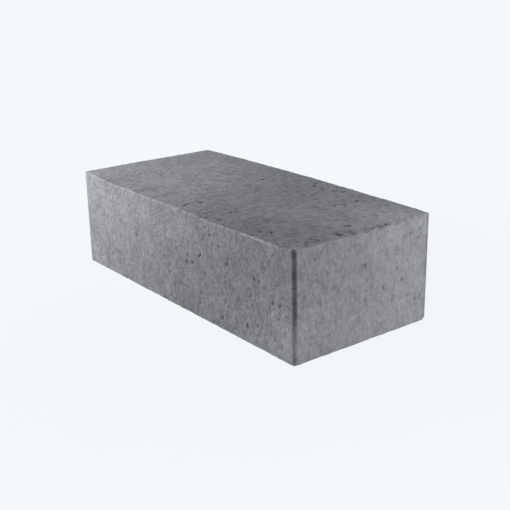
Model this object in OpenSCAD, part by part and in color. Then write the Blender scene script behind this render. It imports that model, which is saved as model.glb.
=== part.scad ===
// Solid engineering brick: dense fired clay, extruded through a die and cut to height by wires.
// The die gives the four upright arrises a small radius, wider at the front right, where it was worn.
// The wires leave the two bed faces flat, with a fine torn edge all the way round, and the fired edges
// are chipped a little where bricks have knocked.
// Frame: millimetres, +Z up, the brick lies on its lower bed face with the origin at its middle,
// +X along the length and +Y across the width.

/* [Brick] */
// Length, along the stretcher faces
brick_length = 215; // [190:0.5:250]
// Width, across the header faces
brick_width = 102.5; // [90:0.5:125]
// Height, from bed face to bed face
brick_height = 65; // [50:0.5:80]

/* [Arrises] */
// Radius that the die gives the upright arrises
die_arris_radius = 1.0; // [0.8:0.1:4]
// Radius of the front right upright arris, where the die was worn
worn_arris_radius = 2.6; // [1:0.1:6]
// Radius left where the cutting wire tears the clay at the edges of the bed faces
bed_arris_radius = 0.5; // [0.3:0.1:0.8]

/* [Chips] */
// Length of the chips along the arris
chip_length = 6; // [3:0.5:10]
// Depth of the chips, measured in from the sharp corner of the arris
chip_depth = 1.0; // [0.6:0.1:1.6]
// Depth of the knocked corners, measured in from the sharp corner
corner_chip_depth = 1.7; // [1.2:0.1:3]
// Radius of the hollow that is left at a knocked corner
corner_chip_radius = 6; // [5:0.5:12]

/* [Hidden] */

clay_colour = "#7f8186";
curve_steps = 72;

half_length = brick_length / 2;
half_width = brick_width / 2;

// Chips on the upper arris of the front stretcher face: [distance from the front right corner as a share
// of the brick's length, length and depth as shares of the usual chip]
stretcher_chips = [
    [0.047, 0.5, 0.9], [0.295, 0.8, 0.8], [0.377, 1.3, 0.8], [0.46, 0.8, 0.8], [0.609, 1.5, 0.8],
    [0.819, 1.3, 1]
];
// Chips on the upper arris of the right header face: the same, from the same corner, in the width
header_chips = [[0.41, 1, 1], [0.507, 1, 1], [0.615, 1, 1.3], [0.732, 1.5, 1]];
// Knocked corners: [side along X, side along Y, height]
knocked_corners = [[1, 1, 0], [1, -1, 1]];

// Upright section from a middle line out to the face at the given reach, its two bed arrises rounded
module half_section(reach) {
    r = bed_arris_radius;
    intersection() {
        union() {
            translate([0, r]) square([reach, brick_height - 2 * r]);
            square([reach - r, brick_height]);
            for (z = [r, brick_height - r]) translate([reach - r, z]) circle(r = r, $fn = curve_steps);
        }
        square([reach, brick_height]);
    }
}

// The fired body: a slab out to each of the four upright faces, and a turned post in each upright arris.
// The sides go round from the right header. The worn arris lies between the last side and the first.
module clay_body() {
    for (side = [0 : 3]) {
        reach = side % 2 == 0 ? half_length : half_width;
        half_run = side % 2 == 0 ? half_width : half_length;
        near_radius = side == 0 ? worn_arris_radius : die_arris_radius;
        far_radius = side == 3 ? worn_arris_radius : die_arris_radius;
        rotate([0, 0, side * 90]) {
            translate([0, half_run - far_radius, 0])
                rotate([90, 0, 0])
                    linear_extrude(2 * half_run - far_radius - near_radius) half_section(reach);
            translate([reach - far_radius, half_run - far_radius, 0])
                rotate_extrude(angle = 90, $fn = curve_steps) half_section(far_radius);
        }
    }
}

// Shell-shaped hollow with its middle on the arris that runs along local X, biting towards -Y and -Z
module arris_chip(length, depth) {
    radius = (length * length / 4 + depth * depth) / (2 * depth);
    out = (radius - depth) * sqrt(1 / 2);
    translate([0, out, out]) sphere(r = radius, $fn = curve_steps);
}

// Hollow knocked off the corner at the local origin, biting towards -X, -Y and -Z
module corner_chip() {
    out = (corner_chip_radius - corner_chip_depth) * sqrt(1 / 3);
    translate([out, out, out]) sphere(r = corner_chip_radius, $fn = curve_steps);
}

module chips() {
    for (c = stretcher_chips)
        translate([half_length - c[0] * brick_length, -half_width, brick_height])
            mirror([0, 1, 0]) arris_chip(chip_length * c[1], chip_depth * c[2]);
    for (c = header_chips)
        translate([half_length, c[0] * brick_width - half_width, brick_height])
            rotate([0, 0, -90]) arris_chip(chip_length * c[1], chip_depth * c[2]);
    for (k = knocked_corners)
        translate([k[0] * half_length, k[1] * half_width, k[2] * brick_height])
            mirror([k[0] < 0 ? 1 : 0, 0, 0]) mirror([0, k[1] < 0 ? 1 : 0, 0])
                mirror([0, 0, k[2] < 0.5 ? 1 : 0]) corner_chip();
}

module brick() {
    color(clay_colour)
        difference() {
            clay_body();
            chips();
        }
}

brick();
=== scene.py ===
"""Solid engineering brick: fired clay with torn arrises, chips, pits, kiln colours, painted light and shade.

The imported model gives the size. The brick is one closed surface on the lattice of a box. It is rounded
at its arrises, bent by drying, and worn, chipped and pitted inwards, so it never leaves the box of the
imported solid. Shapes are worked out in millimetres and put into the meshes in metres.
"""

import math

import bpy
import numpy as np
from mathutils import Matrix, Vector


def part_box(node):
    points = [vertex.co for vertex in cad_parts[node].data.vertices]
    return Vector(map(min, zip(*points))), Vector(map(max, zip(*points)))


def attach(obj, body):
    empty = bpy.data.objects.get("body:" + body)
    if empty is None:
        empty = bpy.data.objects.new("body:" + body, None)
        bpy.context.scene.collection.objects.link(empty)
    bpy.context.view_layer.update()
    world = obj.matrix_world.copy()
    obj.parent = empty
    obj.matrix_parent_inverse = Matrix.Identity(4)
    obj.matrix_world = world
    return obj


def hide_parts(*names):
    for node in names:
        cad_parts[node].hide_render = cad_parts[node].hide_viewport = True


bl_info = {
    "name": "Fired Clay Brick",
    "version": (1, 0, 0),
    "blender": (4, 5, 0),
    "location": "3D View > Sidebar > Brick",
    "description": "Builds a solid engineering brick with worn arrises, and a pale stage to show it on",
    "category": "Add Mesh",
}

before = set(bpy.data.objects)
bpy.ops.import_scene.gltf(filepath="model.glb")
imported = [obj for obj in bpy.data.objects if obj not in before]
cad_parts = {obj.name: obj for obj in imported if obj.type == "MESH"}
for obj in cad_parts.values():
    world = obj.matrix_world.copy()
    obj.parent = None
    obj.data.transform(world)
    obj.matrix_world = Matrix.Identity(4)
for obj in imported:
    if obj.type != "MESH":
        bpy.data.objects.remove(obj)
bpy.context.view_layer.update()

MM = 0.001
LOW, HIGH = (np.array(corner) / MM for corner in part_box("brick"))
LENGTH, WIDTH, HEIGHT = HIGH - LOW


def linear(hex_colour):
    """sRGB hex colour to linear red, green, blue and an alpha of one."""
    channels = [int(hex_colour[i:i + 2], 16) / 255 for i in (1, 3, 5)]
    return tuple(c / 12.92 if c <= 0.04045 else ((c + 0.055) / 1.055) ** 2.4 for c in channels) + (1.0,)


# --- What a user can change -------------------------------------------------------------------------


class BrickShape(bpy.types.PropertyGroup):
    die_arris_radius: bpy.props.FloatProperty(
        name="Die arris radius", description="Radius that the die gives the upright arrises",
        default=1.0 * MM, min=0, unit="LENGTH")
    worn_arris_radius: bpy.props.FloatProperty(
        name="Worn arris radius",
        description="Radius of the front right upright arris, where the die was worn",
        default=2.6 * MM, min=0, unit="LENGTH")
    bed_arris_radius: bpy.props.FloatProperty(
        name="Bed arris radius", description="Radius where the cutting wire leaves the bed faces",
        default=0.5 * MM, min=0, unit="LENGTH")
    tear_depth: bpy.props.FloatProperty(
        name="Tear depth", description="About how deep the wire tears the bed arrises at the most",
        default=0.9 * MM, min=0, unit="LENGTH")
    bow: bpy.props.FloatProperty(
        name="Bow", description="How much the far upper arris stands up in its middle after drying",
        default=1.1 * MM, min=0, unit="LENGTH")


class ClayLook(bpy.types.PropertyGroup):
    body_colour: bpy.props.FloatVectorProperty(
        name="Body", description="Blue-grey of the clay body, fired with little air",
        default=linear("#8a8a8f"), size=4, min=0, max=1, subtype="COLOR")
    light_colour: bpy.props.FloatVectorProperty(
        name="Light mottle", description="Paler clay where the kiln had more air",
        default=linear("#adadb1"), size=4, min=0, max=1, subtype="COLOR")
    dark_colour: bpy.props.FloatVectorProperty(
        name="Dark mottle", description="Darker clay, fused the most",
        default=linear("#44444b"), size=4, min=0, max=1, subtype="COLOR")
    # Pit colour: partly dark clay and partly painted shade in the bowls of pits
    pit_and_shade_colour: bpy.props.FloatVectorProperty(
        name="Pits", description="Burnt-out specks and the bottoms of pits",
        default=linear("#4c4c50"), size=4, min=0, max=1, subtype="COLOR")
    roughness: bpy.props.FloatProperty(
        name="Roughness", description="Roughness of the die-smoothed faces",
        default=0.62, min=0, max=1, subtype="FACTOR")


class StageLook(bpy.types.PropertyGroup):
    floor_colour: bpy.props.FloatVectorProperty(
        name="Floor", description="Colour of the floor and of the backdrop",
        default=linear("#f4f8fb"), size=4, min=0, max=1, subtype="COLOR")
    camera_turn: bpy.props.FloatProperty(
        name="Camera turn", description="Turn of the camera about the upright, from the stretcher face",
        default=math.radians(51.83), unit="ROTATION")
    camera_rise: bpy.props.FloatProperty(
        name="Camera rise", description="How far the camera looks down",
        default=math.radians(19.43), unit="ROTATION")
    camera_roll: bpy.props.FloatProperty(
        name="Camera roll", description="Tilt of the camera about its line of sight",
        default=math.radians(-0.42), unit="ROTATION")
    camera_distance: bpy.props.FloatProperty(
        name="Camera distance", description="From the camera to the point that it looks at",
        default=0.5811, min=0, unit="LENGTH")
    camera_aim: bpy.props.FloatVectorProperty(
        name="Camera aim", description="The point that the camera looks at",
        default=(7.36 * MM, 3.22 * MM, 23.05 * MM), size=3, unit="LENGTH")
    world_strength: bpy.props.FloatProperty(
        name="World strength", description="Strength of the even light from all round",
        default=0.04, min=0)
    lens: bpy.props.FloatProperty(
        name="Lens", description="Focal length of the camera, in millimetres on a 36 mm sensor",
        default=65.46, min=1)


# --- The shape of the brick -------------------------------------------------------------------------


# How far each corner has shrunk and worn in from the box:
# [side along X, side along Y, height], [x, y, z] in mm
SETTLED_CORNERS = [
    ([-1, -1, 1], [0.3, 0.3, 1.2]), ([-1, 1, 1], [0, 0.6, 1.8]), ([1, 1, 1], [1.7, 0.2, 0.4]),
    ([1, -1, 1], [0, 0, 0.1]), ([1, 1, 0], [0, 1, 0]), ([1, -1, 0], [0, 1.2, 0.3]),
    ([-1, -1, 0], [0.3, 0.8, 0.3]),
]
# How far the upper arrises sag below the straight: [place along the arris, depth] in mm
STRETCHER_SAG = [
    [-107, 0.2], [-88, 1.1], [-70, 2], [-61, 1.8], [-50, 1.3], [-40, 1.8], [-28, 1.4], [-22, 1.8],
    [-15, 1.4], [22, 1.4], [30, 2], [38, 2], [56, 1.4], [74, 1.1], [98, 1], [103, 0.4], [107, 0],
]
HEADER_SAG = [
    [-51, 0], [-46, 0], [-42, 0.7], [-35, 0.9], [-30, 0.2], [-20, 0.3], [-5, 0.6], [15, 0.7], [30, 0.4],
    [37, 0], [51, 0],
]
# How far below the top the sag has died out, and how far in from each of those arrises, in mm
SAG_HEIGHT = 14
STRETCHER_SAG_REACH, HEADER_SAG_REACH = 40, 30
# How much of the tear each of those arrises shows: [place along the arris, share]
STRETCHER_TEAR = [[-107, 0.4], [58, 0.4], [66, 0.8], [90, 0.8], [100, 0.5]]
HEADER_TEAR = [[-51, 0.3], [-48, 0], [-28, 0], [-18, 1], [35, 1], [45, 0.3]]
# How much paler those arrises are, partly rubbed by wear and partly a painted highlight:
# [place along the arris, how much]
STRETCHER_RUB_AND_HIGHLIGHT = [
    [-107, 0.2], [0, 0.2], [30, 0.5], [60, 0.5], [66, 1.2], [90, 1], [95, 0.3], [99, 0],
]
HEADER_RUB_AND_HIGHLIGHT = [[-51, 0], [-46, 0.3], [-30, 0.3], [-24, 0], [51, 0]]
# Chips on the upper arrises: [distance from the front right corner, length, depth] in mm
STRETCHER_CHIPS = [
    [10, 3, 0.9], [63.5, 5, 0.8], [81, 8, 0.8], [99, 5, 0.8], [131, 9, 0.7], [176, 8, 0.8],
]
HEADER_CHIPS = [[42, 6, 1], [52, 6, 1], [63, 6, 1.3], [75, 9, 1]]
# Knocked corners: [side along X, side along Y, height], radius and depth of the hollow in mm
KNOCKED_CORNERS = [([1, 1, 0], 6, 1.7), ([1, -1, 1], 6, 1.5)]
# The few pits that stand out most on each front face:
# [place along the face, place across it, radius] in mm
STAND_OUT_PITS = {
    "top": [
        [-10, 25, 1.6], [35, 20, 1.3], [65, 35, 1.4], [35, -45, 1.2], [95, 0, 1.3], [103, -15, 2],
        [103, -30, 1.3],
    ],
    "header": [[0, 45, 1.1], [30, 30, 1.1], [-35, 45, 1]],
    "stretcher": [[-45, 35, 1.2], [25, 40, 1.3], [75, 40, 1.2], [50, 10, 1.1]],
}
# Bands of the front faces where coarse grains tore out: how many pits, their smallest and largest radius,
# and the band from and to along the face, then from and to across it, all in mm
TORN_BANDS = {
    "top": [
        (14, 0.9, 1.3, (0, 97), (-50, -26)), (16, 0.9, 1.3, (15, 97), (15, 44)),
        (12, 0.9, 1.4, (99, 106), (-38, 18)), (5, 0.9, 1.2, (-70, 10), (-45, 28)),
    ],
    "header": [(19, 0.75, 1.1, (-46, 45), (8, 61))],
    "stretcher": [(22, 0.8, 1.2, (0, 100), (6, 62)), (4, 0.8, 1.1, (-80, 0), (6, 45))],
}
# Pits strewn over each face by chance: how many, smallest and largest radius in mm
STREWN_PITS = {
    "top": (130, 0.45, 0.8), "bottom": (140, 0.5, 1.1), "stretcher": (60, 0.45, 0.7),
    "header": (32, 0.45, 0.65),
}
# How far the strewn pits keep off the arrises in mm, and the depth of a pit as a share of its radius
PIT_MARGIN = 4
PIT_DEPTH = 0.4
# Seeds of what is left to chance. Each face and each chip adds its own number to its seed
STREWN_SEED, TORN_SEED, CHIP_SEED = 40, 70, 80
TEAR_SEEDS, RIM_SEEDS, WAVE_SEEDS = (11, 17), (61, 62), (31, 32)

# Gap between the corners of the lattice at the arrises and in the middle of a face, and how far in from
# the arris it stops growing, in mm: in plan and in height
PLAN_GAPS = (0.3, 1.05, 7)
HEIGHT_GAPS = (0.25, 1.2, 7)
# How many cells the noise has each way before it repeats
NOISE_CELLS = 32
# Depth of the shallow waves in the faces in mm
WAVE_DEPTH = 0.22

# Clouds on each face, partly kiln tone and partly painted light and shade:
# [place along the face, place across it, radius in mm, how much paler]
TOP_CLOUDS_AND_LIGHT = [
    [-98, -44, 16, 0.5], [-45, -14, 26, 0.25], [60, -46, 20, -0.6], [22, -28, 15, -0.22], [8, 2, 13, -0.25],
    [30, 14, 15, -0.25], [-10, 46, 24, -0.35], [94, 26, 22, 0.75], [96, 2, 14, 0.25], [101, 34, 15, 0.5],
    [98, -38, 14, -0.2], [-72, 12, 14, 0.1], [-60, 44, 16, -0.1], [-98, -22, 16, 0.25], [-50, 14, 45, 0.16],
    [20, 46, 16, -0.1], [44, 28, 14, 0.15], [82, -15, 9, 0.18],
]
STRETCHER_CLOUDS_AND_LIGHT = [
    [104, 1, 22, 0.7], [74, 6, 15, 0.15], [98, 28, 17, 0.2], [-80, 55, 20, 0.16], [-38, 60, 17, 0.2],
    [55, 38, 16, -0.16], [8, 4, 10, -0.35], [-98, 6, 13, 0.2], [-78, 27, 12, 0.12], [10, 57, 16, 0.14],
    [-96, 50, 18, 0.12], [10, 32, 45, -0.1], [-45, 4, 20, -0.12], [-50, 26, 13, -0.1],
]
HEADER_CLOUDS_AND_LIGHT = [
    [-36, 58, 17, -0.27], [-8, 56, 13, -0.2], [-30, 12, 17, 0.2], [33, 10, 15, 0.22], [1, 37, 10, -0.13],
    [0, 12, 12, 0.12], [-45, 12, 9, 0.2], [40, 34, 18, 0.08],
]


def smooth_step(t):
    """0 below 0, 1 above 1, and 3t^2 - 2t^3 between."""
    t = np.clip(t, 0, 1)
    return t * t * (3 - 2 * t)


def profile(points, along):
    """Straight stretches through a list of [place, value] points, read at the given places."""
    return np.interp(along, *np.transpose(points))


def lattice_noise(points, cell, seed):
    """Random numbers from -1 to 1 at the corners of cubes of the given size, blended smoothly between."""
    values = np.random.default_rng(seed).uniform(-1, 1, (NOISE_CELLS,) * 3)
    place = points / cell
    base = np.floor(place).astype(int)
    blend = smooth_step(place - base)
    total = np.zeros(len(points))
    for corner in np.ndindex(2, 2, 2):
        weight = np.prod(np.where(corner, blend, 1 - blend), axis=1)
        x, y, z = ((base + corner) % NOISE_CELLS).T
        total += weight * values[x, y, z]
    return total


def fractal_noise(points, cell, octaves, seed):
    """Sum of noises, each with half the cell and half the height of the one before."""
    return sum(lattice_noise(points, cell / 2**k, seed + k) / 2**k for k in range(octaves))


def grid_marks(length, edge_gap, middle_gap, reach):
    """Places of grid lines from -length/2 to length/2. The gap grows from both ends over the reach."""
    samples = np.linspace(0, length, 4001)
    from_end = np.minimum(samples, length - samples)
    density = 1 / (edge_gap + (middle_gap - edge_gap) * smooth_step(from_end / reach))
    count = np.concatenate([[0], np.cumsum((density[1:] + density[:-1]) / 2 * np.diff(samples))])
    cells = round(count[-1])
    return np.interp(np.linspace(0, count[-1], cells + 1), count, samples) - length / 2


def box_lattice(x_marks, y_marks, z_marks):
    """Surface of a box lattice: the place of every corner on it, and quads that face outwards."""
    sizes = len(x_marks), len(y_marks), len(z_marks)
    on_surface = np.ones(sizes, bool)
    on_surface[1:-1, 1:-1, 1:-1] = False
    index = np.full(sizes, -1)
    index[on_surface] = np.arange(on_surface.sum())
    i, j, k = np.nonzero(on_surface)
    corners = np.stack([x_marks[i], y_marks[j], z_marks[k]], axis=1)

    def quads(side, outwards):
        rings = [side[:-1, :-1], side[1:, :-1], side[1:, 1:], side[:-1, 1:]]
        faces = np.stack(rings, axis=-1).reshape(-1, 4)
        return faces if outwards else faces[:, ::-1]

    sides = [
        quads(index[-1], True), quads(index[0], False),
        quads(index[:, -1], False), quads(index[:, 0], True),
        quads(index[:, :, -1], True), quads(index[:, :, 0], False),
    ]
    return corners, np.concatenate(sides)


def box_faces():
    """The six faces: name, the axis across the face and its side, the two axes along it, and their ranges."""
    half_x, half_y = LENGTH / 2, WIDTH / 2
    return [
        ("top", 2, HEIGHT, (0, 1), ((-half_x, half_x), (-half_y, half_y))),
        ("bottom", 2, 0, (0, 1), ((-half_x, half_x), (-half_y, half_y))),
        ("stretcher", 1, -half_y, (0, 2), ((-half_x, half_x), (0, HEIGHT))),
        ("stretcher", 1, half_y, (0, 2), ((-half_x, half_x), (0, HEIGHT))),
        ("header", 0, half_x, (1, 2), ((-half_y, half_y), (0, HEIGHT))),
        ("header", 0, -half_x, (1, 2), ((-half_y, half_y), (0, HEIGHT))),
    ]


def strewn_pits(name, ranges, seed):
    """Pits by chance on one face, kept off its arrises. On the top they crowd towards the right header."""
    count, smallest, largest = STREWN_PITS[name]
    rng = np.random.default_rng(seed)
    u, v = (rng.uniform(low + PIT_MARGIN, high - PIT_MARGIN, count) for low, high in ranges)
    if name == "top":
        end = ranges[0][1]
        u = end - PIT_MARGIN - (end - u) * rng.uniform(0, 1, count) ** 0.5
    radius = smallest + (largest - smallest) * rng.uniform(0, 1, count) ** 2
    return np.stack([u, v, radius], axis=1)


def torn_out_pits(name, seed):
    """Larger pits of a front face: the few that stand out, and the ones by chance in its torn bands."""
    rng = np.random.default_rng(seed)
    pits = [np.array(STAND_OUT_PITS[name], float)]
    for count, smallest, largest, along, across in TORN_BANDS[name]:
        u, v = rng.uniform(*along, count), rng.uniform(*across, count)
        pits.append(np.stack([u, v, rng.uniform(smallest, largest, count)], axis=1))
    return np.concatenate(pits)


def all_pits():
    """For each face: the face and an array of its pits, the larger ones of the three front faces first."""
    front = {"top": HEIGHT, "header": LENGTH / 2, "stretcher": -WIDTH / 2}
    faces = []
    for number, face in enumerate(box_faces()):
        name, _, side, _, ranges = face
        pits = strewn_pits(name, ranges, STREWN_SEED + number)
        if front.get(name) == side:
            pits = np.concatenate([torn_out_pits(name, TORN_SEED + number), pits])
        faces.append((face, pits))
    return faces


def crowd_round_pits(sharp, faces):
    """Draws the lattice of each face in towards its pits, so that each pit has enough corners.

    The draw reaches three radii, or less where an arris is near. A corner at the share d of that reach has
    its distance from the middle of the pit times 0.4 + 0.6 d^2.
    """
    crowded = sharp.copy()
    for (_, axis, side, along, ranges), pits in faces:
        on_face = np.flatnonzero(np.abs(sharp[:, axis] - side) < 1e-6)
        flat = crowded[on_face][:, along]
        low, high = np.array(ranges).T
        for u, v, radius in pits:
            centre = np.array([u, v])
            reach = min(3 * radius, 0.95 * np.min(np.concatenate([centre - low, high - centre])))
            away = flat - centre
            distance = np.hypot(*away.T) / reach
            near = distance < 1
            flat[near] = centre + away[near] * (0.4 + 0.6 * distance[near] ** 2)[:, None]
        crowded[np.ix_(on_face, along)] = flat
    return crowded


def round_arrises(sharp, die_radius, worn_radius, bed_radius):
    """Rounds the lattice of a box, as two maps from a square to a quarter disc.

    In plan, the square in each corner becomes a quarter disc: a ring of the square goes to an arc of the
    same radius. In the upright section, the same map rounds the edge of both bed faces. Returns the places,
    their outward directions in plan, how far each one's normal turns up or down from there, and how far
    each lies inside the outline of the plan.
    """
    sign = np.where(sharp[:, :2] < 0, -1.0, 1.0)
    radius = np.where((sharp[:, 0] > 0) & (sharp[:, 1] < 0), worn_radius, die_radius)
    over = np.abs(sharp[:, :2]) - (np.array([LENGTH, WIDTH]) / 2 - radius[:, None])
    p, q = over.T
    ring = np.maximum(p, q)
    safe = np.where(ring > 0, ring, 1)
    angle = np.where(p >= q, math.pi / 4 * q / safe, math.pi / 2 - math.pi / 4 * p / safe)
    in_corner = (p > 0) & (q > 0)
    angle = np.where(in_corner, angle, np.where(p >= q, 0, math.pi / 2))
    outward = np.stack([np.cos(angle), np.sin(angle)], axis=1)
    plan = np.abs(sharp[:, :2])
    arc = plan - over + ring[:, None] * outward
    plan = np.where(in_corner[:, None], arc, plan)
    inside = radius - ring

    z = sharp[:, 2] - HEIGHT / 2
    up = np.where(z < 0, -1.0, 1.0)
    rise = np.abs(z) - (HEIGHT / 2 - bed_radius)
    on_side = inside < 1e-9
    turn = np.where(
        on_side,
        math.pi / 4 * np.clip(rise / bed_radius, 0, 1),
        math.pi / 2 - math.pi / 4 * np.clip((bed_radius - inside) / bed_radius, 0, 1),
    )
    in_band = (rise > 0) & (inside < bed_radius)
    new_inside = np.where(in_band, bed_radius - bed_radius * np.cos(turn), inside)
    new_height = np.where(in_band, HEIGHT / 2 - bed_radius + bed_radius * np.sin(turn), np.abs(z))
    plan = plan - outward * (new_inside - inside)[:, None]

    place = np.column_stack([plan * sign, new_height * up + HEIGHT / 2])
    outward = outward * sign
    return place, outward, turn, new_inside


def tear_share(place, outward):
    """How much of the tear each stretch of arris gets: the two upper front arrises are worn unevenly."""
    upper = place[:, 2] > HEIGHT / 2
    share = np.where(upper, 0.6, 0.35)
    share = np.where(upper & (outward[:, 1] < -0.7), profile(STRETCHER_TEAR, place[:, 0]), share)
    return np.where(upper & (outward[:, 0] > 0.7), profile(HEADER_TEAR, place[:, 1]), share)


def tear_arrises(place, outward, inside, tear_depth):
    """Takes a ragged bevel off both bed arrises.

    The bevel's leg is 0.2 mm and a share of 1.6 times the tear depth. The share changes along the arris, by
    noises of 9 and 2.2 mm. A place outside the bevel is moved in along the middle of the arris, until it
    lies on it. Returns the places and how far each one went.
    """
    up = np.where(place[:, 2] < HEIGHT / 2, -1.0, 1.0)
    below = np.where(up > 0, HEIGHT - place[:, 2], place[:, 2])
    coarse, fine = fractal_noise(place, 9, 2, TEAR_SEEDS[0]), fractal_noise(place, 2.2, 2, TEAR_SEEDS[1])
    ragged = 0.5 + 0.3 * coarse + 0.35 * fine
    leg = 0.2 + 1.6 * tear_depth * np.clip(ragged, 0, 1) * tear_share(place, outward)
    gone = np.clip(leg - below - inside, 0, None) / 2
    moved = place.copy()
    moved[:, :2] -= outward * gone[:, None]
    moved[:, 2] -= up * gone
    return moved, gone


def hollow_out(place, centre, radius, seed):
    """Moves places inside a rough ball out to its surface.

    The ball's radius wavers by up to about 0.2 mm, in a noise of 1.4 mm. Returns the places and how far
    each one went.
    """
    away = place - centre
    distance = np.linalg.norm(away, axis=1)
    rough = radius + 0.16 * fractal_noise(place, 1.4, 2, seed)
    inside = distance < rough
    moved = np.where(inside[:, None], centre + away * (rough / np.maximum(distance, 1e-6))[:, None], place)
    return moved, np.where(inside, rough - distance, 0)


def chip_balls():
    """Middle and radius of the ball that leaves each chip, from the chip's length and depth."""
    half_x, half_y = LENGTH / 2, WIDTH / 2
    front_right = np.array([half_x, -half_y, HEIGHT])
    diagonal = math.sqrt(1 / 2)
    arrises = (
        (STRETCHER_CHIPS, np.array([-1, 0, 0]), np.array([0, -diagonal, diagonal])),
        (HEADER_CHIPS, np.array([0, 1, 0]), np.array([diagonal, 0, diagonal])),
    )
    balls = []
    for chips, step, outwards in arrises:
        for along, length, depth in chips:
            radius = (length**2 / 4 + depth**2) / (2 * depth)
            balls.append((front_right + along * step + (radius - depth) * outwards, radius))
    for (x, y, z), radius, depth in KNOCKED_CORNERS:
        corner = np.array([x * half_x, y * half_y, z * HEIGHT])
        outwards = np.array([x, y, 2 * z - 1]) * math.sqrt(1 / 3)
        balls.append((corner + outwards * (radius - depth), radius))
    return balls


def sink_pits(place, sharp, faces):
    """Presses each pit in as a bowl with a ragged rim. Returns the places and the depth of the pit there.

    At the share d of its radius the bowl has the share 1 - d^2 of its depth. Noises of 0.9 and 0.45 mm are
    added to d.
    """
    sunk = place.copy()
    depth = np.zeros(len(place))
    for (_, axis, side, along, _), pits in faces:
        on_face = np.flatnonzero(np.abs(sharp[:, axis] - side) < 1e-6)
        flat = sharp[on_face][:, along]
        ragged = 0.3 * lattice_noise(sharp[on_face], 0.9, RIM_SEEDS[0])
        ragged += 0.2 * lattice_noise(sharp[on_face], 0.45, RIM_SEEDS[1])
        deepest = np.zeros(len(on_face))
        for u, v, radius in pits:
            distance = np.hypot(*(flat - [u, v]).T) / radius + ragged
            deepest = np.maximum(deepest, PIT_DEPTH * radius * (1 - np.clip(distance, 0, 1) ** 2))
        sunk[on_face, axis] += deepest * (1 if side < place[:, axis].mean() else -1)
        depth[on_face] = deepest
    return sunk, depth


def settle(place, bow):
    """Bends the brick as drying left it: the corners come in, the upper arrises sag, the far one bows up."""
    x_share, y_share, z_share = 0.5 + place[:, 0] / LENGTH, 0.5 + place[:, 1] / WIDTH, place[:, 2] / HEIGHT
    across = np.column_stack([x_share, y_share, z_share])
    settled = place.copy()
    for (x, y, z), (in_x, in_y, in_z) in SETTLED_CORNERS:
        near = np.prod(np.where([x > 0, y > 0, z > 0], across, 1 - across), axis=1)
        settled -= near[:, None] * [x * in_x, y * in_y, (2 * z - 1) * in_z]
    near_stretcher = 1 - smooth_step((place[:, 1] + WIDTH / 2) / STRETCHER_SAG_REACH)
    near_header = 1 - smooth_step((LENGTH / 2 - place[:, 0]) / HEADER_SAG_REACH)
    stretcher = profile(STRETCHER_SAG, place[:, 0]) * near_stretcher
    header = profile(HEADER_SAG, place[:, 1]) * near_header
    settled[:, 2] -= np.maximum(stretcher, header) * (1 - smooth_step((HEIGHT - place[:, 2]) / SAG_HEIGHT))
    settled[:, 2] += bow * (1 - (2 * place[:, 0] / LENGTH) ** 2) * y_share * z_share
    return settled


def kiln_clouds_and_painted_light(place, normal):
    """How much paler or darker each place is: soft round clouds on the three front faces, partly kiln
    tone and partly painted light and shade.
    """
    clouds = np.zeros(len(place))
    front = ((2, 1, (0, 1), TOP_CLOUDS_AND_LIGHT), (1, -1, (0, 2), STRETCHER_CLOUDS_AND_LIGHT), (0, 1, (1, 2), HEADER_CLOUDS_AND_LIGHT))
    for axis, side, along, patches in front:
        faces_it = np.clip(normal[:, axis] * side, 0, 1) ** 2
        flat = place[:, along]
        for u, v, radius, paler in patches:
            clouds += faces_it * paler * np.exp(-np.sum((flat - [u, v]) ** 2, axis=1) / radius**2)
    return clouds


def rubbed_pale_and_highlight(sharp):
    """How much paler a strip 1 mm wide is on both sides of the two upper front arrises: partly
    rubbed by wear and partly a painted highlight.
    """
    below = HEIGHT - sharp[:, 2]
    behind_stretcher, behind_header = sharp[:, 1] + WIDTH / 2, LENGTH / 2 - sharp[:, 0]
    stretcher = profile(STRETCHER_RUB_AND_HIGHLIGHT, sharp[:, 0]) * np.exp(-(below**2 + behind_stretcher**2))
    header = profile(HEADER_RUB_AND_HIGHLIGHT, sharp[:, 1]) * np.exp(-(below**2 + behind_header**2))
    return stretcher + header


def painted_arris_shade(place):
    """Painted shade on the upright arrises: a soft dark line on the header side of each, fading downwards.

    It stands for the shade where the rounded arris faces away from the lamps, and it fades where the
    floor lights the lower part. A faint painted highlight runs beside it, and it ends softly in the top 2 mm.
    It is full on the front right arris, where the die was worn, and faint on the other three.
    """
    from_header, from_stretcher = (np.array([LENGTH, WIDTH]) / 2 - np.abs(place[:, :2])).T
    over = from_stretcher - from_header
    dark = np.exp(-((over - 1.0) / 1.6) ** 4)
    pale = 0.35 * np.exp(-((over + 2.1) / 0.9) ** 2)
    near = 1 - smooth_step((np.minimum(from_header, from_stretcher) - 1.5) / 2.5)
    height = place[:, 2]
    upright = (0.3 + 0.7 * smooth_step((height - 8) / 40)) * smooth_step(height / 4)
    upright *= smooth_step((HEIGHT - height) / 2)
    return (dark - pale) * near * upright * np.where((place[:, 0] > 0) & (place[:, 1] < 0), 1, 0.3)


def wave_faces(place, normal):
    """Presses shallow waves into the faces, by noises of 45 and 14 mm. They die out at the arrises."""
    long_waves, short_waves = lattice_noise(place, 45, WAVE_SEEDS[0]), lattice_noise(place, 14, WAVE_SEEDS[1])
    waves = 0.5 + 0.5 * long_waves + 0.18 * short_waves
    flat = np.max(np.abs(normal), axis=1)
    return place - normal * (WAVE_DEPTH * np.clip(waves, 0, 1.2) * smooth_step((flat - 0.9) / 0.1))[:, None]


def fill_box(place):
    """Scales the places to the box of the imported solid."""
    low, high = place.min(axis=0), place.max(axis=0)
    return LOW + (place - low) * (HIGH - LOW) / (high - low)


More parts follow.
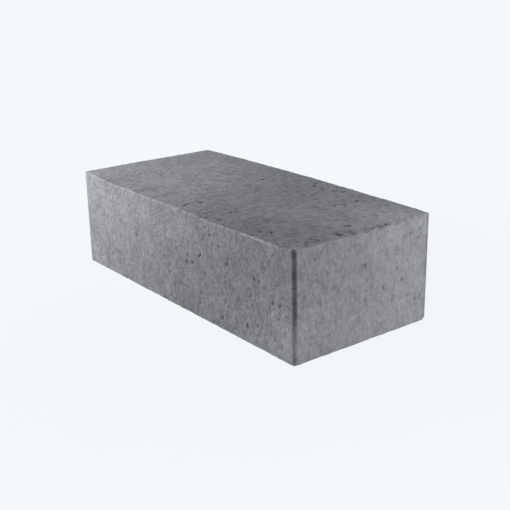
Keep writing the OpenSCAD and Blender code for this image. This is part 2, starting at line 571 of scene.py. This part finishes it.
def brick_surface(shape):
    """The whole brick, in millimetres: places, quads and the masks that the clay reads."""
    x_marks = grid_marks(LENGTH, *PLAN_GAPS)
    y_marks = grid_marks(WIDTH, *PLAN_GAPS)
    z_marks = grid_marks(HEIGHT, *HEIGHT_GAPS) + HEIGHT / 2
    sharp, quads = box_lattice(x_marks, y_marks, z_marks)
    faces = all_pits()
    sharp = crowd_round_pits(sharp, faces)
    rounded, outward, turn, inside = round_arrises(
        sharp, shape.die_arris_radius / MM, shape.worn_arris_radius / MM, shape.bed_arris_radius / MM)
    up = np.where(sharp[:, 2] > HEIGHT / 2, 1, -1)
    normal = np.column_stack([outward * np.cos(turn)[:, None], np.sin(turn) * up])

    place, pit = sink_pits(rounded, sharp, faces)
    place, torn = tear_arrises(place, outward, inside, shape.tear_depth / MM)
    chipped = np.zeros(len(place))
    for number, (centre, radius) in enumerate(chip_balls()):
        place, gone = hollow_out(place, centre, radius, CHIP_SEED + number)
        chipped = np.maximum(chipped, gone)
    place = fill_box(settle(wave_faces(place, normal), shape.bow / MM))

    # Pores crowd towards the right header and the front stretcher, and are rarer on the header faces
    pored = (0.4 + sharp[:, 0] / 250 - sharp[:, 1] / 200) * (1 - 0.7 * np.abs(normal[:, 0]))
    masks = {
        "bed": np.sin(turn) ** 2,
        # Kiln clouds with painted light and shade, and the upper arrises paler with a painted highlight
        "tone_and_painted_light": kiln_clouds_and_painted_light(sharp, normal) + rubbed_pale_and_highlight(sharp),
        "pored": np.clip(pored, 0, 1),
        "calm": np.abs(normal[:, 0]),
        "pit": np.clip(pit / 0.5, 0, 1),
        "wear": np.clip((torn + chipped) / 0.3, 0, 1),
        # Painted shade along the upright arrises
        "arris_shade_mask": painted_arris_shade(rounded),
    }
    return place, quads, masks


def mesh_from(name, place, quads, masks, material):
    """One mesh object at the origin, from places in millimetres, with one number per place for each mask."""
    mesh = bpy.data.meshes.new(name)
    mesh.vertices.add(len(place))
    mesh.vertices.foreach_set("co", (place * MM).astype(np.float32).ravel())
    mesh.loops.add(quads.size)
    mesh.loops.foreach_set("vertex_index", quads.astype(np.int32).ravel())
    mesh.polygons.add(len(quads))
    mesh.polygons.foreach_set("loop_start", np.arange(0, quads.size, 4, dtype=np.int32))
    mesh.polygons.foreach_set("use_smooth", np.ones(len(quads), bool))
    mesh.update(calc_edges=True)
    mesh.validate()
    for mask, values in masks.items():
        layer = mesh.attributes.new(mask, "FLOAT", "POINT")
        layer.data.foreach_set("value", values.astype(np.float32))
    mesh.materials.append(material)
    piece = bpy.data.objects.new(name, mesh)
    bpy.context.scene.collection.objects.link(piece)
    return piece


# --- Materials --------------------------------------------------------------------------------------


def add_node(tree, kind, inputs=None, **settings):
    """Adds one node with its settings. An input is linked if it is given a socket, and set otherwise."""
    node = tree.nodes.new(kind)
    for setting, value in settings.items():
        setattr(node, setting, value)
    for name, value in (inputs or {}).items():
        if isinstance(value, bpy.types.NodeSocket):
            tree.links.new(value, node.inputs[name])
        else:
            node.inputs[name].default_value = value
    return node


def new_material(name):
    """A material with an empty node tree, and that tree."""
    material = bpy.data.materials.new(name)
    material.use_nodes = True
    material.node_tree.nodes.clear()
    return material, material.node_tree


def fired_clay(look):
    """Dense clay, fired with little air: the iron in it turns blue-grey, in clouds and fine mottle.

    The clouds are the kiln's uneven air. The mottle and grain are the ground shale in the clay. The die
    draws the grain of the side faces upright. Specks are burnt-out fuel, and grit is pale quartz. The
    listed clouds of the front faces are partly painted light and shade, the upper arrises carry a painted
    highlight, the upright arrises a painted shade line, and pits darken partly as painted shade.
    """
    material, tree = new_material("fired_clay")
    metres = add_node(tree, "ShaderNodeTexCoord").outputs["Object"]
    millimetres = add_node(tree, "ShaderNodeVectorMath", {
        0: metres, 1: [1 / MM] * 3}, operation="MULTIPLY").outputs[0]
    drawn = add_node(tree, "ShaderNodeVectorMath", {
        0: millimetres, 1: [1, 1, 0.25]}, operation="MULTIPLY").outputs[0]

    def noise(place, cell, detail=2.0, rough=0.5):
        """Noise from about -1 to 1 with features of the given size in millimetres."""
        texture = add_node(tree, "ShaderNodeTexNoise", {
            "Vector": place, "Scale": 1 / cell, "Detail": detail, "Roughness": rough})
        return add_node(tree, "ShaderNodeMapRange", {
            "Value": texture.outputs["Fac"], 1: 0.25, 2: 0.75, 3: -1.0, 4: 1.0}, clamp=False).outputs[0]

    def mask(name):
        return add_node(tree, "ShaderNodeAttribute", attribute_name=name).outputs["Fac"]

    def scaled(value, factor):
        return add_node(tree, "ShaderNodeMath", {0: value, 1: factor}, operation="MULTIPLY").outputs[0]

    def total(start, parts):
        """The start plus each value times its share."""
        for value, share in parts:
            start = add_node(tree, "ShaderNodeMath", {
                0: value, 1: share, 2: start}, operation="MULTIPLY_ADD").outputs[0]
        return start

    def spots(cell, radius, share):
        """Round spots in a share of the cells, one at most in each: 1 in the middle, 0 past the radius."""
        cells = add_node(tree, "ShaderNodeTexVoronoi", {"Vector": millimetres, "Scale": 1 / cell})
        chosen = add_node(tree, "ShaderNodeSeparateColor", {"Color": cells.outputs["Color"]}).outputs[0]
        size = add_node(tree, "ShaderNodeMapRange", {
            "Value": chosen, 1: 1 - share, 2: 1.0, 3: 0.0, 4: radius / cell}).outputs[0]
        return add_node(tree, "ShaderNodeMapRange", {
            "Value": cells.outputs["Distance"], 1: size, 2: scaled(size, 0.4), 3: 0.0, 4: 1.0},
            interpolation_type="SMOOTHSTEP").outputs[0]

    bed = mask("bed")
    side = add_node(tree, "ShaderNodeMath", {0: 1.0, 1: bed}, operation="SUBTRACT").outputs[0]
    clouds = noise(millimetres, 30, 1.0)
    patches = noise(millimetres, 12, 0.0)
    mottle = noise(millimetres, 6, 0.0)
    crumbs = noise(millimetres, 3, 0.0)
    grain = noise(millimetres, 1.5, 0.0)
    sand = noise(millimetres, 0.75, 0.0)
    streaks = noise(drawn, 1.5, 1.0, 0.6)
    # The pores read the noise at another place, so that they don't follow the mottle
    aside = add_node(tree, "ShaderNodeVectorMath", {
        0: millimetres, 1: [31.0, 17.0, 5.0]}, operation="ADD").outputs[0]
    crowding = total(0.7, [(mask("pored"), -0.4), (patches, -0.15)])
    pores = add_node(tree, "ShaderNodeMapRange", {
        "Value": noise(aside, 2.0, 0.5), 1: crowding, 2: total(0.7, [(crowding, 1.0)]), 3: 0.0, 4: 1.0},
        interpolation_type="SMOOTHSTEP").outputs[0]
    # Grit up to 1.6 mm across, in one cell of five
    grit = spots(2.9, 0.8, 0.2)
    pit, wear, arris_shade_mask, tone_and_painted_light = mask("pit"), mask("wear"), mask("arris_shade_mask"), mask("tone_and_painted_light")
    plain = add_node(tree, "ShaderNodeMath", {
        0: 1.0, 1: arris_shade_mask}, operation="SUBTRACT", use_clamp=True).outputs[0]

    mixture = total(0.0, [
        (clouds, 0.05), (patches, 0.055), (mottle, 0.06), (crumbs, 0.065), (scaled(crumbs, bed), 0.025),
        (scaled(grain, bed), 0.04), (grain, 0.056), (sand, 0.022), (scaled(streaks, side), 0.02),
        (pores, -0.11), (grit, 0.1)])
    # The header faces are a little calmer than the others
    lively = total(1.0, [(mask("calm"), -0.15)])
    # The arris mask is painted shade: it darkens the upright arrises towards the dark clay colour
    tone = total(0.5, [(mixture, lively), (wear, 0.02), (arris_shade_mask, -0.55)])
    ramp = add_node(tree, "ShaderNodeValToRGB", {"Fac": tone})
    ramp.color_ramp.elements.new(0.5)
    for stop, place, colour in zip(ramp.color_ramp.elements, (0.0, 0.5, 1.0), (
            look.dark_colour, look.body_colour, look.light_colour)):
        stop.position, stop.color = place, colour
    # Scaled by the clouds mask, which holds kiln tone, painted light and shade, and painted highlight
    fired = add_node(tree, "ShaderNodeVectorMath", {
        0: ramp.outputs["Color"], "Scale": total(1.0, [(tone_and_painted_light, 0.7)])}, operation="SCALE").outputs[0]
    # Pits darken towards their bottoms, partly as dark clay and partly as painted shade, more on the bed
    # faces
    pit_and_shade_share = scaled(pit, total(0.75, [(bed, 0.17)]))
    colour = add_node(tree, "ShaderNodeMix", {
        0: pit_and_shade_share, 6: fired, 7: look.pit_and_shade_colour}, data_type="RGBA").outputs[2]

    height = total(0.0, [
        (patches, 0.1), (mottle, 0.09), (crumbs, 0.085), (grain, 0.066), (sand, 0.01),
        (scaled(streaks, side), 0.014), (pores, -0.13), (grit, 0.03)])
    # The relief dies out on the arrises with painted shade, and is a little lower on the bed faces
    height = scaled(scaled(height, plain), total(1.0, [(bed, -0.2)]))
    relief = add_node(tree, "ShaderNodeBump", {"Height": height, "Distance": MM, "Strength": 1.0})
    roughness = total(look.roughness, [(grain, 0.06), (wear, 0.12), (pit, 0.2)])
    sheen = total(0.5, [(pit, -0.5), (pores, -0.3), (crumbs, 0.1), (grain, 0.08)])
    surface = add_node(tree, "ShaderNodeBsdfPrincipled", {
        "Base Color": colour, "Roughness": roughness, "IOR": 1.5, "Specular IOR Level": sheen,
        "Normal": relief.outputs["Normal"]})
    add_node(tree, "ShaderNodeOutputMaterial", {"Surface": surface.outputs["BSDF"]})
    return material


# --- Stage ------------------------------------------------------------------------------------------


# Softboxes: name, turn and rise in degrees, power in watts
LAMPS = [("left_lamp", 305, 24, 2.03), ("right_lamp", 120, 6, 1.12), ("front_lamp", 52, 6, 0.15)]
# Their distance, their size, the height they turn about and the gap they keep above the floor, in metres
LAMP_DISTANCE, LAMP_SIZE = 0.45, 0.25
LAMP_CENTRE_HEIGHT, LAMP_CLEARANCE = 0.03, 0.01
# Side of the floor in metres
FLOOR_SIDE = 12
# Share of the seen floor that is lit card near the brick, and where that share starts and ends to fade,
# in metres from the origin
SHADOW_SHARE, SHADOW_NEAR, SHADOW_FAR = 0.04, 0.1, 0.3
# Width of the camera's sensor in mm
SENSOR_WIDTH = 36


def seen_directly(tree):
    """1 for rays from the camera and for the mirror and glass rays that show the backdrop, 0 for lighting."""
    path = add_node(tree, "ShaderNodeLightPath")
    seen = path.outputs["Is Camera Ray"]
    for ray in ("Is Glossy Ray", "Is Transmission Ray"):
        seen = add_node(tree, "ShaderNodeMath", {
            0: seen, 1: path.outputs[ray]}, operation="ADD", use_clamp=True).outputs[0]
    return seen


def floor_paint(look):
    """White studio card. It lights the brick from below as plain matt card would.

    Seen directly it glows evenly in the backdrop colour. Close to the brick a small share of it is lit
    card, which takes the faint contact shadow.
    """
    material, tree = new_material("floor_card")
    card = add_node(tree, "ShaderNodeBsdfDiffuse", {"Color": linear("#eceff1")})
    glow = add_node(tree, "ShaderNodeEmission", {"Color": look.floor_colour, "Strength": 1.0})
    place = add_node(tree, "ShaderNodeTexCoord").outputs["Object"]
    distance = add_node(tree, "ShaderNodeVectorMath", {0: place}, operation="LENGTH").outputs["Value"]
    lit_share = add_node(tree, "ShaderNodeMapRange", {
        "Value": distance, 1: SHADOW_NEAR, 2: SHADOW_FAR, 3: SHADOW_SHARE, 4: 0.0},
        interpolation_type="SMOOTHSTEP").outputs[0]
    seen = add_node(tree, "ShaderNodeMixShader", {0: lit_share, 1: glow.outputs[0], 2: card.outputs[0]})
    paint = add_node(tree, "ShaderNodeMixShader", {
        0: seen_directly(tree), 1: card.outputs[0], 2: seen.outputs[0]})
    add_node(tree, "ShaderNodeOutputMaterial", {"Surface": paint.outputs[0]})
    return material


def studio_world(look):
    """Even, weak light from all round, and the backdrop colour where the world itself is seen."""
    world = bpy.data.worlds.new("studio")
    world.use_nodes = True
    tree = world.node_tree
    tree.nodes.clear()
    light = add_node(tree, "ShaderNodeBackground", {
        "Color": look.floor_colour, "Strength": look.world_strength})
    backdrop = add_node(tree, "ShaderNodeBackground", {"Color": look.floor_colour, "Strength": 1.0})
    mixed = add_node(tree, "ShaderNodeMixShader", {
        0: seen_directly(tree), 1: light.outputs[0], 2: backdrop.outputs[0]})
    add_node(tree, "ShaderNodeOutputWorld", {"Surface": mixed.outputs[0]})
    return world


def flat_square(name, side, material):
    """A square on the ground round the origin."""
    corners = np.array([[-1, -1, 0], [1, -1, 0], [1, 1, 0], [-1, 1, 0]]) * side / 2
    return mesh_from(name, corners / MM, np.array([[0, 1, 2, 3]]), {}, material)


def spherical(turn, rise):
    """Direction from the origin: turned about the upright from -Y towards +X, then raised."""
    return Vector((math.sin(turn) * math.cos(rise), -math.cos(turn) * math.cos(rise), math.sin(rise)))


def softbox(name, turn, rise, power):
    """A square area lamp that shines towards the brick, and stands clear of the floor."""
    rise = math.radians(rise)
    away = spherical(math.radians(turn), rise)
    light = bpy.data.lights.new(name, "AREA")
    light.shape, light.size, light.energy = "SQUARE", LAMP_SIZE, power
    lamp = bpy.data.objects.new(name, light)
    lamp.rotation_euler = away.to_track_quat("Z", "Y").to_euler()
    lamp.location = away * LAMP_DISTANCE
    lowest = LAMP_CLEARANCE + LAMP_SIZE / 2 * math.cos(rise)
    lamp.location.z = max(LAMP_CENTRE_HEIGHT + LAMP_DISTANCE * math.sin(rise), lowest)
    lamp.visible_camera = False
    bpy.context.scene.collection.objects.link(lamp)


def aimed_camera(look):
    """The camera, looking at the point a little above and beside the middle of the lower bed."""
    back = spherical(look.camera_turn, look.camera_rise)
    right = Vector((math.cos(look.camera_turn), math.sin(look.camera_turn), 0))
    lens = bpy.data.cameras.new("camera")
    lens.lens, lens.sensor_width = look.lens, SENSOR_WIDTH
    camera = bpy.data.objects.new("camera", lens)
    turned = Matrix((right, back.cross(right), back)).transposed()
    camera.matrix_world = turned.to_4x4() @ Matrix.Rotation(look.camera_roll, 4, "Z")
    camera.location = Vector(look.camera_aim) + back * look.camera_distance
    bpy.context.scene.collection.objects.link(camera)
    bpy.context.scene.camera = camera


class MESH_OT_fired_brick(bpy.types.Operator):
    """Add the brick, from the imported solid's size, in place of its plain solid"""
    bl_idname = "mesh.fired_brick"
    bl_label = "Fired Brick"
    bl_options = {"REGISTER", "UNDO"}

    def execute(self, context):
        place, quads, masks = brick_surface(context.scene.brick_shape)
        brick = mesh_from("fired_brick", place, quads, masks, fired_clay(context.scene.clay_look))
        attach(brick, "root")
        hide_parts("brick")
        return {"FINISHED"}


class SCENE_OT_brick_stage(bpy.types.Operator):
    """Add the pale floor, the lamps, the world and the camera"""
    bl_idname = "scene.brick_stage"
    bl_label = "Pale Stage"
    bl_options = {"REGISTER", "UNDO"}

    def execute(self, context):
        look = context.scene.stage_look
        flat_square("floor", FLOOR_SIDE, floor_paint(look))
        for lamp in LAMPS:
            softbox(*lamp)
        context.scene.world = studio_world(look)
        aimed_camera(look)
        context.scene.view_settings.view_transform = "Standard"
        return {"FINISHED"}


class VIEW3D_PT_brick(bpy.types.Panel):
    bl_idname = "VIEW3D_PT_brick"
    bl_label = "Fired Clay Brick"
    bl_space_type = "VIEW_3D"
    bl_region_type = "UI"
    bl_category = "Brick"

    def draw(self, context):
        for settings in (context.scene.brick_shape, context.scene.clay_look, context.scene.stage_look):
            for name in settings.__annotations__:
                self.layout.prop(settings, name)
        self.layout.operator(MESH_OT_fired_brick.bl_idname)
        self.layout.operator(SCENE_OT_brick_stage.bl_idname)


CLASSES = (BrickShape, ClayLook, StageLook, MESH_OT_fired_brick, SCENE_OT_brick_stage, VIEW3D_PT_brick)


def register():
    for cls in CLASSES:
        bpy.utils.register_class(cls)
    bpy.types.Scene.brick_shape = bpy.props.PointerProperty(type=BrickShape)
    bpy.types.Scene.clay_look = bpy.props.PointerProperty(type=ClayLook)
    bpy.types.Scene.stage_look = bpy.props.PointerProperty(type=StageLook)


def unregister():
    del bpy.types.Scene.stage_look
    del bpy.types.Scene.clay_look
    del bpy.types.Scene.brick_shape
    for cls in reversed(CLASSES):
        bpy.utils.unregister_class(cls)


def main():
    register()
    bpy.ops.mesh.fired_brick()
    bpy.ops.scene.brick_stage()


if __name__ == "__main__":
    main()
